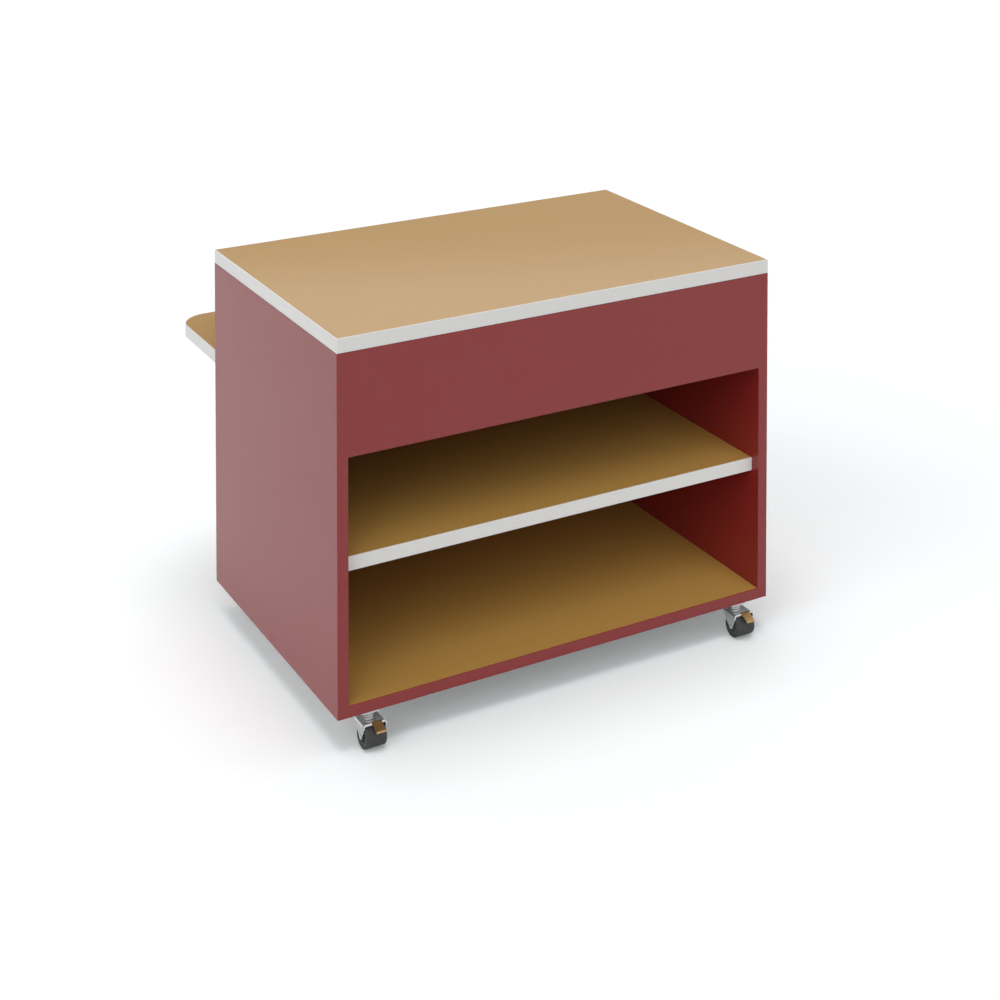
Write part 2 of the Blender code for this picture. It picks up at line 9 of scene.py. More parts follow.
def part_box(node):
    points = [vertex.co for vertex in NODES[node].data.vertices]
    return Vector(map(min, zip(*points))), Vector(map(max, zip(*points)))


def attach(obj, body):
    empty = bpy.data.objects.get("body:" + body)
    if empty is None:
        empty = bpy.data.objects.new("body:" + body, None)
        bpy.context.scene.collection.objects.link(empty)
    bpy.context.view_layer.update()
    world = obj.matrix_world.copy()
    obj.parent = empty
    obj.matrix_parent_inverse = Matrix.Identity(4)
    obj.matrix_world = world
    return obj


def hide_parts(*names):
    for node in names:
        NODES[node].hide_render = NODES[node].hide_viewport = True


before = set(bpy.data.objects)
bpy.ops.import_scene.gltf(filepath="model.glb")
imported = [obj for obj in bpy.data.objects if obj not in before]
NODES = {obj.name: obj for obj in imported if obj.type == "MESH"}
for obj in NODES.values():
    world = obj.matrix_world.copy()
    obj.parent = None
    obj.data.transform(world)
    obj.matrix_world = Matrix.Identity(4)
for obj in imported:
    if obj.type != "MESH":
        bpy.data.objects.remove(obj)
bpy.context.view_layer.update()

# Photograph's camera: a view camera with an almost upright film plane, in pixels of the 1000 px frame
FRAME_PX = 1000
FOCAL_PX = 1876.545
PRINCIPAL_PX = (490.692, -241.014)
EYE = Vector((-2.114376, -3.930402, 2.202698))
FILM_YAW = math.radians(29.0374)
FILM_PITCH = math.radians(2.191)
SENSOR_MM = 36.0

# Light levels and directions; a level of 1 on a surface shows its colour as written
AMBIENT = 0.36
FRONT = 0.49
FRONT_FROM = Vector((-0.22, -1.0, 1.0))
FRONT_SPREAD = math.radians(60)
LEFT = 0.55
LEFT_FROM = Vector((-1.0, -0.28, 0.34))
LEFT_SPREAD = math.radians(70)
BACK = 0.30
BACK_FROM = Vector((1.0, 0.7, 0.25))
BACK_SPREAD = math.radians(70)
PANEL_GLOW = 1.9
PANEL_SIZE = (3.4, 0.9)
PANEL_PLACE = Vector((0.7, 1.5, 1.93))
PANEL_FROM = Vector((0.0, 1.0, 0.35))
PANEL_ROLL = math.radians(-6.5)
FLOOR_SIZE = 60
FLOOR_BOUNCE = 0.54
FLOOR_SEEN = (0.93, 0.965, 0.975)
FLOOR_FILL = 0.14
FLOOR_LIGHT = 0.43
FLOOR_FROM = Vector((0.0, 0.0, 1.0))
FLOOR_SPREAD = math.radians(38)

# Radius of the rounded edges, in metres
FINE = 0.00015
STRIP_ROUND = 0.0012
BOARD_ROUND = 0.0008
BRACKET_EASE = 0.0005
ANGLE_EASE = 0.0004
PLATE_EASE = 0.0003
FORK_EASE = 0.00025
RIB_EASE = 0.0002
PEDAL_EASE = 0.0003
SHOE_EASE = 0.0005
CORE_EASE = 0.0004

# Steps across a rounded edge and round the turned shapes
ROUND_STEPS = 4
TRAY_STEPS = 28
SCREW_STEPS = 28
RIVET_STEPS = 32
KINGPIN_STEPS = 40
BEARING_STEPS = 64
CORE_STEPS = 64
TYRE_STEPS = 96

# Sizes shared with the part, in metres
GAP = 0.0003
EDGING = 0.002
TRAY_CORNER = 0.070
BRACKET_SHEET = 0.004
BRACKET_REACH = 0.205
BRACKET_HEIGHT = 0.150
BRACKET_NOSE = 0.016
ANGLE_SHEET = 0.0025
TRAIL = 0.0235
AXLE_HEIGHT = 0.025
FORK_HALF = 0.0262
PLATE_HOLE_PITCH = 0.031
WHEEL_RADIUS = 0.025
WHEEL_HALF = 0.0235
TYRE_THICKNESS = 0.008
TYRE_SHOULDER = 0.0015
PEDAL_SLOPE = math.radians(22)
PEDAL_LIP_SLOPE = math.radians(65)
PEDAL_SHEET = 0.0022
PEDAL_BARREL = 0.0037
PEDAL_LENGTH = 0.023
PEDAL_LIP = 0.0024
PEDAL_WIDTH = 0.022
PEDAL_OFFSET = 0.005
SHOE_START = 0.0065
SHOE_END = 0.012
SHOE_THICKNESS = 0.0041
SHOE_WIDTH = 0.020

# Sheet under the bottom panel
BACKING = 0.0012

# Screws: (radius, height) points of the head and shank, and the cross recess
SCREW_PROFILE = [(0, 0.0024), (0.0014, 0.00235), (0.0026, 0.0021), (0.0035, 0.0015), (0.0039, 0.0008),
                 (0.0039, 0), (0.0020, 0), (0.0020, -0.0024), (0, -0.0024)]
RECESS_ARM = 0.0019
RECESS_HALF = 0.00042

# Screws in a bracket: distance from its corner, turn in degrees and the turn's change from side to side
BRACKET_HOLE_SIDE = 0.0125
WALL_SCREWS = ((0.040, 20, 50), (0.120, 65, -31))
TRAY_SCREWS = ((0.060, 10, 24), (0.180, 35, -17))

# Screws in a shelf angle: place across it and from its corner, and two turns in degrees on each leg
ANGLE_HOLE_SIDE = 0.007
ANGLE_HOLE_REACH = 0.0150
ANGLE_HOLE_DROP = 0.0155
SHELF_TURNS = (25, 62)
SIDE_TURNS = (12, 48)

# Screws in a caster plate: turn in degrees and its change to each side
PLATE_TURNS = (20, 23, -14)

# Weld beads: size, ripples, rounding, and what stays free at the ends
BEAD_LEG = 0.003
BEAD_PITCH = 0.003
BEAD_RIPPLE = 0.10
BEAD_WANDER = 0.05
BEAD_WANDER_RATE = 2.1
BEAD_BULGE = 0.86
BEAD_FLAT = 0.12
BEAD_STEPS = 4
BEAD_ROOT = 0.0002
BEAD_END = 0.002
BEAD_CORNER = 0.004

# Caster details: pins as the radius of the shank and head and the head's height, balls, ribs and pedal
AXLE = (0.003, 0.0045, 0.0015)
PEDAL_PIN = (0.0015, 0.0024, 0.001)
BALLS = 24
BALL_RADIUS = 0.00095
BALL_CIRCLE = 0.0145
BALL_HEIGHT = 0.0617
RIBS = 6
RIB_HALF = 0.0008
RIB_SINK = 0.0003
RIB_DROP = 0.0028
RIM_DROP = 0.002
WEB_DROP = 0.005
PEDAL_WRAP = 325
PEDAL_BEND = 0.0030
PEDAL_RUN = Vector((-math.cos(PEDAL_SLOPE), -math.sin(PEDAL_SLOPE)))
PEDAL_UP = Vector((-math.sin(PEDAL_SLOPE), math.cos(PEDAL_SLOPE)))

# Turns a Z axis to X, and a drawn XY outline to the YZ plane
ALONG_X = Matrix.Rotation(math.pi / 2, 4, "Y")
IN_YZ = Matrix.Rotation(math.pi / 2, 4, "Z") @ Matrix.Rotation(math.pi / 2, 4, "X")


def arc(centre, radius, start, end, steps):
    """Points of an arc in a plane, between two angles in degrees."""
    angles = [math.radians(start + (end - start) * i / steps) for i in range(steps + 1)]
    return [(centre[0] + radius * math.cos(a), centre[1] + radius * math.sin(a)) for a in angles]


def turned(profile, steps, closed=False, turn=Matrix.Identity(4)):
    """A shape turned round Z from (radius, height) points."""
    edit = bmesh.new()
    rings = []
    for radius, height in profile:
        if radius == 0:
            rings.append([edit.verts.new((0, 0, height))] * steps)
        else:
            rings.append([edit.verts.new((u, v, height)) for u, v in arc((0, 0), radius, 0, 360, steps)[:-1]])
    pairs = list(zip(rings, rings[1:]))
    if closed:
        pairs.append((rings[-1], rings[0]))
    for upper, lower in pairs:
        for i in range(steps):
            j = (i + 1) % steps
            edit.faces.new(dict.fromkeys((upper[i], upper[j], lower[j], lower[i])))
    bmesh.ops.transform(edit, matrix=turn, verts=edit.verts)
    return edit


def prism(outline, thickness, turn=Matrix.Identity(4)):
    """A flat outline as a plate of even thickness about its own plane."""
    edit = bmesh.new()
    low = [edit.verts.new((u, v, -thickness / 2)) for u, v in outline]
    high = [edit.verts.new((u, v, thickness / 2)) for u, v in outline]
    edit.faces.new(low[::-1])
    edit.faces.new(high)
    for i in range(len(outline)):
        j = (i + 1) % len(outline)
        edit.faces.new((low[i], low[j], high[j], high[i]))
    bmesh.ops.transform(edit, matrix=turn, verts=edit.verts)
    return edit


def copied(node):
    """The shape of a CAD node, with its seams closed and its flat faces whole."""
    edit = bmesh.new()
    edit.from_mesh(NODES[node].data)
    bmesh.ops.remove_doubles(edit, verts=edit.verts, dist=1e-6)
    bmesh.ops.dissolve_limit(edit, angle_limit=math.radians(1), verts=edit.verts, edges=edit.edges)
    return edit


def mirrored(half):
    """(radius, height) points again on the other side of the middle, in reverse order."""
    return [(radius, -height) for radius, height in half[::-1]]


def rounded(edit, edges, width, steps):
    """Rounds the given edges."""
    bmesh.ops.bevel(edit, geom=edges, offset=width, offset_type="OFFSET", segments=steps, profile=0.5,
                    affect="EDGES", clamp_overlap=True)
    return edit


def eased(edit, width, steps=2, bend=38, kept=()):
    """Takes the sharpness off every edge that turns by more than an angle, but not in the planes kept."""
    limit = math.radians(bend)
    sharp = []
    for edge in edit.edges:
        square = any(all(abs(vert.co[i] - level) < 1e-6 for vert in edge.verts) for i, level in kept)
        if edge.is_manifold and edge.calc_face_angle(0) > limit and not square:
            sharp.append(edge)
    return rounded(edit, sharp, width, steps)


def added(edit, other):
    """Puts another shape into the first one."""
    mesh = bpy.data.meshes.new("part")
    other.to_mesh(mesh)
    other.free()
    edit.from_mesh(mesh)
    bpy.data.meshes.remove(mesh)
    return edit


def finished(name, edit, bend=40):
    """A mesh whose corners take their shading from the large flat faces round them."""
    bmesh.ops.recalc_face_normals(edit, faces=edit.faces)
    limit = math.cos(math.radians(bend))
    areas = {face: face.calc_area() for face in edit.faces}
    normals = []
    for face in edit.faces:
        for loop in face.loops:
            total = areas[face] * face.normal
            for near in loop.vert.link_faces:
                if near is not face and near.normal.dot(face.normal) > limit:
                    total = total + areas[near] * near.normal
            normals.append(total.normalized() if total.length > 0 else face.normal)
    mesh = bpy.data.meshes.new(name)
    edit.to_mesh(mesh)
    edit.free()
    mesh.shade_smooth()
    mesh.normals_split_custom_set(normals)
    return mesh


def copy_mesh(node, width):
    """A CAD node's own shape with its edges eased."""
    return finished(node, eased(copied(node), width))


def board_mesh(name, low, high, edges=(), radius=BOARD_ROUND, flush=()):
    """A board or strip between two corners; edges name the pairs of sides that meet in a rounded edge.

    A flush side is drawn out by half the joint's gap to meet its neighbour, and its edges stay square.
    """
    low, high = Vector(low), Vector(high)
    ends = []
    for i, axis in enumerate("xyz"):
        if "-" + axis in flush:
            low[i] -= GAP / 2
            ends.append((i, low[i]))
        if "+" + axis in flush:
            high[i] += GAP / 2
            ends.append((i, high[i]))
    edit = bmesh.new()
    bmesh.ops.create_cube(edit, size=1.0)
    for vert in edit.verts:
        vert.co = [low[i] if vert.co[i] < 0 else high[i] for i in range(3)]
    chosen = []
    for edge in edit.edges:
        sides = ""
        for i, axis in enumerate("xyz"):
            levels = [vert.co[i] for vert in edge.verts]
            if levels[0] == levels[1]:
                sides += ("-" if levels[0] == low[i] else "+") + axis
        if sides in edges:
            chosen.append(edge)
    if chosen:
        rounded(edit, chosen, radius, ROUND_STEPS)
    return finished(name, eased(edit, FINE, kept=ends))


def piece(name, mesh, finish, body, nodes=(), place=(0, 0, 0)):
    """A piece of the visual model on one of the frame's bodies."""
    obj = bpy.data.objects.new(name, mesh)
    bpy.context.scene.collection.objects.link(obj)
    obj.location = place
    if not mesh.materials:
        mesh.materials.append(FINISHES[finish])
    if nodes:
        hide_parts(*nodes)
    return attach(obj, body)


def dress(node, mesh, finish, body="counter", place=(0, 0, 0)):
    """The piece that is shown in place of a CAD node."""
    return piece(f"{node}_dressed", mesh, finish, body, [node], place)


def put(tree, kind, inputs=None, **settings):
    """A new node with its settings, and with values or links on its inputs."""
    node = tree.nodes.new(kind)
    for key, value in settings.items():
        setattr(node, key, value)
    for key, value in (inputs or {}).items():
        if isinstance(value, bpy.types.NodeSocket):
            tree.links.new(value, node.inputs[key])
        else:
            node.inputs[key].default_value = value
    return node


# Usual range of a noise pattern
NOISE_LOW = 0.3
NOISE_HIGH = 0.7


def noise(tree, scale, stretch=(1, 1, 1), detail=2.0):
    """A noise pattern in the piece's own metres; scale counts waves to the metre."""
    coords = put(tree, "ShaderNodeTexCoord").outputs["Object"]
    mapped = put(tree, "ShaderNodeMapping", {"Vector": coords, "Scale": stretch}).outputs[0]
    return put(tree, "ShaderNodeTexNoise", {"Vector": mapped, "Scale": scale, "Detail": detail}).outputs[0]


def spread(tree, factor, low, high):
    """A pattern brought to a range of values."""
    ends = {"From Min": NOISE_LOW, "From Max": NOISE_HIGH, "To Min": low, "To Max": high}
    return put(tree, "ShaderNodeMapRange", {"Value": factor, **ends}).outputs[0]


def tinted(tree, factor, colour, change):
    """A colour that a pattern makes a little darker and lighter."""
    mix = put(tree, "ShaderNodeMix", data_type="RGBA")
    tree.links.new(factor, mix.inputs["Factor"])
    mix.inputs[6].default_value = (*[c * (1 - change) for c in colour], 1)
    mix.inputs[7].default_value = (*[min(c * (1 + change), 1) for c in colour], 1)
    return mix.outputs[2]


def surface(name, colour, roughness, fleck, cloud, bump, metallic=0.0, change=0.05, specular=0.5):
    """A material: fleck and bump are fine patterns as (scale, stretch), cloud is a wide one for the sheen."""
    made = bpy.data.materials.new(name)
    made.use_nodes = True
    tree = made.node_tree
    shader = tree.nodes["Principled BSDF"]
    shader.inputs["Metallic"].default_value = metallic
    shader.inputs["Specular IOR Level"].default_value = specular
    fine = noise(tree, *fleck)
    tree.links.new(tinted(tree, fine, colour, change), shader.inputs["Base Color"])
    tree.links.new(spread(tree, noise(tree, *cloud), *roughness), shader.inputs["Roughness"])
    scale, stretch, strength, depth = bump
    height = noise(tree, scale, stretch)
    raised = put(tree, "ShaderNodeBump", {"Height": height, "Strength": strength, "Distance": depth})
    tree.links.new(raised.outputs[0], shader.inputs["Normal"])
    return made


# Stretch of a pattern: even, or along a strip
EVEN = (1, 1, 1)
ALONG = {"x": (0.02, 1, 1), "y": (1, 0.02, 1), "z": (1, 1, 0.02)}

# Base colours
RED = (0.215, 0.0155, 0.0155)
TAN = (0.45, 0.256, 0.066)
PALE = (0.655, 0.65, 0.635)
ZINC = (0.60, 0.60, 0.61)
GREY = (0.34, 0.34, 0.35)
CHROME = (0.74, 0.74, 0.75)
YELLOW = (0.48, 0.32, 0.14)
PLASTIC = (0.055, 0.055, 0.056)
RUBBER = (0.031, 0.031, 0.032)


def make_finishes():
    """Materials by the record's slot names; a word after the dot is the way a strip's grain runs."""
    made = {
        "red_laminate": surface("red_laminate", RED, (0.20, 0.26), (900, EVEN), (9, EVEN),
                                (1100, EVEN, 0.04, 0.0001)),
        "tan_laminate": surface("tan_laminate", TAN, (0.16, 0.19), (700, EVEN), (7, EVEN),
                                (900, EVEN, 0.03, 0.0001), specular=0.045, change=0.025),
        "zinc_steel": surface("zinc_steel", ZINC, (0.29, 0.42), (350, EVEN), (120, EVEN),
                              (600, EVEN, 0.10, 0.0001), metallic=1.0, change=0.10),
        "bracket_steel": surface("bracket_steel", GREY, (0.42, 0.55), (500, EVEN), (60, EVEN),
                                 (420, EVEN, 0.35, 0.0002)),
        "chrome": surface("chrome", CHROME, (0.07, 0.14), (260, EVEN), (90, EVEN),
                          (160, EVEN, 0.04, 0.0002), metallic=1.0, change=0.03),
        "yellow_steel": surface("yellow_steel", YELLOW, (0.29, 0.38), (320, EVEN), (140, EVEN),
                                (500, EVEN, 0.08, 0.0001), metallic=1.0, change=0.10),
        "wheel_plastic": surface("wheel_plastic", PLASTIC, (0.40, 0.52), (900, EVEN), (150, EVEN),
                                 (1500, EVEN, 0.25, 0.0001), change=0.08),
        "tyre_rubber": surface("tyre_rubber", RUBBER, (0.46, 0.62), (500, EVEN), (110, EVEN),
                               (1400, EVEN, 0.30, 0.0001), change=0.12),
    }
    for way, stretch in ALONG.items():
        made[f"red_edging.{way}"] = surface(f"red_edging_{way}", RED, (0.20, 0.26), (800, stretch),
                                            (40, stretch), (1500, stretch, 0.04, 0.0001), change=0.02)
        made[f"pale_edging.{way}"] = surface(f"pale_edging_{way}", PALE, (0.28, 0.38), (800, stretch),
                                             (40, stretch), (1500, stretch, 0.10, 0.0001), change=0.02)
    made["pale_edging.round"] = surface("pale_edging_round", PALE, (0.28, 0.38), (500, (1, 1, 2)),
                                        (30, (1, 1, 3)), (900, (1, 1, 3), 0.10, 0.0001), change=0.02)
    return made


# Outer edges of the strips that run the whole width of the worktop
END_EDGES = ("-x+z", "-x-z", "+x+z", "+x-z")
FRONT_EDGES = ("-y+z", "-y-z", "-x-y", "+x-y", *END_EDGES)
REAR_EDGES = ("+y+z", "+y-z", "-x+y", "+x+y", *END_EDGES)

# Boards and straight strips: finish, rounded edges with their radius, and flush sides
BOARDS = {
    "left_side_panel": ("red_laminate", ("-x+y", "-x-z"), BOARD_ROUND, ("-y",)),
    "right_side_panel": ("red_laminate", ("+x+y", "+x-z"), BOARD_ROUND, ("-y",)),
    "back_panel": ("red_laminate", (), BOARD_ROUND, ()),
    "fascia_panel": ("red_laminate", (), BOARD_ROUND, ("-x", "+x", "-z")),
    "middle_shelf": ("tan_laminate", (), BOARD_ROUND, ()),
    "worktop_board": ("tan_laminate", (), BOARD_ROUND, ()),
    "left_side_edging": ("red_edging.z", ("-x-y", "-y-z"), STRIP_ROUND, ("+x", "+y")),
    "right_side_edging": ("red_edging.z", ("+x-y", "-y-z"), STRIP_ROUND, ("-x", "+y")),
    "bottom_edging": ("red_edging.x", ("-y+z", "-y-z"), BOARD_ROUND, ("-x", "+x")),
    "fascia_edging": ("red_edging.x", ("-y-z", "+y-z"), BOARD_ROUND, ("-x", "+x", "+z")),
    "shelf_edging": ("pale_edging.x", ("-y+z", "-y-z"), STRIP_ROUND, ()),
    "worktop_front_edging": ("pale_edging.x", FRONT_EDGES, STRIP_ROUND, ("+y",)),
    "worktop_rear_edging": ("pale_edging.x", REAR_EDGES, STRIP_ROUND, ("-y",)),
    "worktop_left_edging": ("pale_edging.y", ("-x+z", "-x-z"), STRIP_ROUND, ("-y", "+y")),
    "worktop_right_edging": ("pale_edging.y", ("+x+z", "+x-z"), STRIP_ROUND, ("-y", "+y")),
}


def make_boards():
    """Panels, shelf and worktop with their straight edging strips."""
    for node, (finish, edges, radius, flush) in BOARDS.items():
        mesh = board_mesh(node, *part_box(node), edges, radius, flush)
        dress(node, mesh, finish)


def make_bottom():
    """Bottom panel, with a grey backing sheet on its underside."""
    low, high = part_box("bottom_panel")
    joint = low.z + BACKING
    board = board_mesh("bottom_panel", (low.x, low.y, joint), high)
    dress("bottom_panel", board, "tan_laminate")
    sheet = board_mesh("bottom_backing", low, (high.x, high.y, joint))
    piece("bottom_panel_backing", sheet, "pale_edging.x", "counter")


def tray_outline(inset):
    """Left, rear and right sides of the tray shelf, drawn in by an inset, from its right end to its left."""
    low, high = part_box("tray_edging")
    centre_x = high.x - TRAY_CORNER
    centre_y = high.y - TRAY_CORNER
    radius = TRAY_CORNER - inset
    right = arc((centre_x, centre_y), radius, 0, 90, TRAY_STEPS)
    left = arc((-centre_x, centre_y), radius, 90, 180, TRAY_STEPS)
    return [(high.x - inset, low.y)] + right + left + [(low.x + inset, low.y)]


def make_tray():
    """Tray shelf and the strip bent round its free sides."""
    low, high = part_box("tray_board")
    thickness = high.z - low.z
    middle = (0, 0, (high.z + low.z) / 2)
    board = eased(prism(tray_outline(EDGING + GAP), thickness), FINE)
    dress("tray_board", finished("tray_board", board), "tan_laminate", place=middle)
    outer = tray_outline(0)
    strip = prism(outer + tray_outline(EDGING)[::-1], thickness)
    strip.verts.index_update()
    count = len(strip.verts) // 2
    edges = []
    for edge in strip.edges:
        first, second = sorted(vert.index % count for vert in edge.verts)
        if second < len(outer) and first != second:
            edges.append(edge)
    eased(rounded(strip, edges, STRIP_ROUND, ROUND_STEPS), FINE)
    dress("tray_edging", finished("tray_edging", strip), "pale_edging.round", place=middle)


def carved(edit, cutter):
    """A shape with another one cut out of it."""
    objects = []
    for shape in (edit, cutter):
        mesh = bpy.data.meshes.new("work")
        shape.to_mesh(mesh)
        shape.free()
        objects.append(bpy.data.objects.new("work", mesh))
        bpy.context.scene.collection.objects.link(objects[-1])
    body, tool = objects
    boolean = body.modifiers.new("cut", "BOOLEAN")
    boolean.operation = "DIFFERENCE"
    boolean.solver = "EXACT"
    boolean.object = tool
    result = bmesh.new()
    result.from_object(body, bpy.context.evaluated_depsgraph_get())
    for obj in objects:
        bpy.data.meshes.remove(obj.data)
    return result


def screw_shape():
    """A pan-head screw with a cross recess, head up on the plane z = 0, its shank below."""
    shape = turned(SCREW_PROFILE, SCREW_STEPS)
    bmesh.ops.recalc_face_normals(shape, faces=shape.faces)
    arm, half = RECESS_ARM, RECESS_HALF
    cross = [(arm, half), (half, half), (half, arm), (-half, arm), (-half, half), (-arm, half), (-arm, -half),
             (-half, -half), (-half, -arm), (half, -arm), (half, -half), (arm, -half)]
    height = SCREW_PROFILE[0][1]
    cutter = prism(cross, height, Matrix.Translation((0, 0, height)))
    bmesh.ops.recalc_face_normals(cutter, faces=cutter.faces)
    return finished("screw", carved(shape, cutter))


def screw_set(name, places):
    """Screws in one mesh; a place is a point on a face, the head's direction and a turn in degrees."""
    edit = bmesh.new()
    for point, direction, angle in places:
        mesh = SCREW.copy()
        turn = Vector((0, 0, 1)).rotation_difference(Vector(direction)).to_matrix().to_4x4()
        mesh.transform(Matrix.Translation(point) @ turn @ Matrix.Rotation(math.radians(angle), 4, "Z"))
        edit.from_mesh(mesh)
        bpy.data.meshes.remove(mesh)
    piece(name, finished(name, edit), "zinc_steel", "counter")


def bead(start, end, first, second):
    """A rippled weld bead along a corner, between two directions square to it."""
    start, end, first, second = Vector(start), Vector(end), Vector(first), Vector(second)
    edit = bmesh.new()
    steps = max(int((end - start).length / BEAD_PITCH), 2)
    rows = []
    for i in range(steps + 1):
        centre = start.lerp(end, i / steps)
        swell = BEAD_LEG * (1 + BEAD_RIPPLE * (i % 2) + BEAD_WANDER * math.sin(BEAD_WANDER_RATE * i))
        row = [centre - BEAD_ROOT * (first + second)]
        for k in range(BEAD_STEPS + 1):
            angle = math.pi / 2 * k / BEAD_STEPS
            bulge = BEAD_BULGE - BEAD_FLAT * math.cos(4 * angle)
            row.append(centre + swell * bulge * (math.cos(angle) * first + math.sin(angle) * second))
        rows.append([edit.verts.new(point) for point in row])
    for near, far in zip(rows, rows[1:]):
        for k in range(len(near)):
            j = (k + 1) % len(near)
            edit.faces.new((near[k], near[j], far[j], far[k]))
    edit.faces.new(rows[0][::-1])
    edit.faces.new(rows[-1])
    return edit


def make_brackets():
    """Tray brackets with weld beads and screws."""
    for side in ("left", "middle", "right"):
        node = f"tray_bracket_{side}"
        low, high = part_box(node)
        x = (low.x + high.x) / 2
        wall, top = low.y, high.z
        face, under = wall + BRACKET_SHEET, top - BRACKET_SHEET
        foot = top - BRACKET_HEIGHT + BRACKET_NOSE + BEAD_END
        end = wall + BRACKET_REACH - BRACKET_NOSE - BEAD_END
        shape = eased(copied(node), BRACKET_EASE)
        places = []
        for way in (-1, 1):
            edge = x + way * BRACKET_SHEET / 2
            out = (way, 0, 0)
            added(shape, bead((edge, face, foot), (edge, face, under - BEAD_CORNER), out, (0, 1, 0)))
            added(shape, bead((edge, face + BEAD_CORNER, under), (edge, end, under), out, (0, 0, -1)))
            hole = x + way * BRACKET_HOLE_SIDE
            for drop, turn, change in WALL_SCREWS:
                places.append(((hole, face, top - drop), (0, 1, 0), turn + change * way))
            for reach, turn, change in TRAY_SCREWS:
                places.append(((hole, wall + reach, under), (0, 0, -1), turn + change * way))
        dress(node, finished(node, shape), "bracket_steel")
        screw_set(f"{node}_screws", places)


def make_angles():
    """Steel angles under the middle shelf with their screws."""
    for side, way in (("left", 1), ("right", -1)):
        for end in ("front", "rear"):
            node = f"shelf_angle_{side}_{end}"
            low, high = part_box(node)
            y = (low.y + high.y) / 2
            wall = low.x if way > 0 else high.x
            dress(node, copy_mesh(node, ANGLE_EASE), "zinc_steel")
            places = []
            for sign, turn in zip((-1, 1), SHELF_TURNS):
                point = (wall + way * ANGLE_HOLE_REACH, y + sign * ANGLE_HOLE_SIDE, high.z - ANGLE_SHEET)
                places.append((point, (0, 0, -1), turn))
            for sign, turn in zip((-1, 1), SIDE_TURNS):
                point = (wall + way * ANGLE_SHEET, y + sign * ANGLE_HOLE_SIDE, high.z - ANGLE_HOLE_DROP)
                places.append((point, (way, 0, 0), turn))
            screw_set(f"{node}_screws", places)


def bearing_shape():
    """Swivel bearing: two pressed races with a ring of balls between them, at its height over the floor."""
    profile = [(0.0043, 0.0678)]
    profile += arc((0.0160, 0.0668), 0.0010, 90, 0, 4)
    profile += arc((0.0165, 0.0635), 0.0005, 0, -90, 3)
    profile += [(0.0150, 0.0630), (0.0140, 0.0626), (0.0135, BALL_HEIGHT), (0.0140, 0.0608)]
    profile += arc((0.0152, 0.0598), 0.0005, 90, 0, 3)
    profile += arc((0.0147, 0.0573), 0.0010, 0, -90, 4)
    profile += [(0.0043, 0.0563)]
    edit = turned(profile, BEARING_STEPS, True)
    for u, v in arc((0, 0), BALL_CIRCLE, 0, 360, BALLS)[:-1]:
        place = Matrix.Translation((u, v, BALL_HEIGHT))
        bmesh.ops.create_icosphere(edit, subdivisions=2, radius=BALL_RADIUS, matrix=place)
    return edit


def kingpin_shape():
    """Kingpin with a domed head under the fork, at its height over the floor."""
    profile = [(0, 0.0711), (0.0037, 0.0711), (0.0040, 0.0708), (0.0040, 0.0537)]
    profile += arc((0.0058, 0.0525), 0.0012, 90, -20, 5)
    profile += [(0.0055, 0.0513), (0, 0.0512)]
    return turned(profile, KINGPIN_STEPS)


def rivet_shape(shank, cap, head):
    """A pin along X with a domed head outside each leg of the fork."""
    seat = FORK_HALF + GAP
    crown = [(0, seat + head), (cap * 0.45, seat + head * 0.95), (cap * 0.80, seat + head * 0.72),
             (cap, seat + head * 0.30), (cap, seat), (shank, seat)]
    return turned(crown + mirrored(crown), RIVET_STEPS, turn=ALONG_X)


def core_shape():
    """Wheel core: hub, recessed web with ribs, and rim."""
    bore, hub, rim, outer = 0.0033, 0.0070, 0.0132, 0.0167
    hub_end, rim_end, web = WHEEL_HALF, WHEEL_HALF - RIM_DROP, WHEEL_HALF - WEB_DROP
    soft = CORE_EASE
    half = [(bore, hub_end - soft), (bore + soft, hub_end), (hub - soft, hub_end), (hub, hub_end - soft),
            (hub, web + soft), (hub + soft, web), (rim - soft, web), (rim, web + soft), (rim, rim_end - soft),
            (rim + soft, rim_end), (outer - soft, rim_end), (outer, rim_end - soft)]
    edit = turned(half + mirrored(half), CORE_STEPS, True)
    rise = hub_end - RIB_DROP - web
    start, end = hub - RIB_SINK, rim + RIB_SINK
    outline = [(start, -RIB_HALF), (end, -RIB_HALF), (end, RIB_HALF), (start, RIB_HALF)]
    for way in (-1, 1):
        shift = Matrix.Translation((0, 0, way * (web + rise / 2)))
        for i in range(RIBS):
            turn = Matrix.Rotation(2 * math.pi * i / RIBS, 4, "Z")
            added(edit, eased(prism(outline, rise + soft, turn @ shift), RIB_EASE))
    bmesh.ops.transform(edit, matrix=ALONG_X, verts=edit.verts)
    return edit


def tyre_shape():
    """Tyre with round shoulders, a fine ridge where its mould parted and a lip at the core."""
    outer, side = WHEEL_RADIUS, WHEEL_HALF
    inner = outer - TYRE_THICKNESS
    half = [(outer, 0.0004), (outer - 0.00012, 0.0007), (outer, 0.0011)]
    half += arc((outer - TYRE_SHOULDER, side - TYRE_SHOULDER), TYRE_SHOULDER, 0, 90, 8)
    half += [(inner + 0.0022, side - 0.0002), (inner + 0.0015, side - 0.0010)]
    half += [(inner + 0.0004, side - 0.0016), (inner, side - 0.002)]
    return turned(half + mirrored(half), TYRE_STEPS, True, ALONG_X)


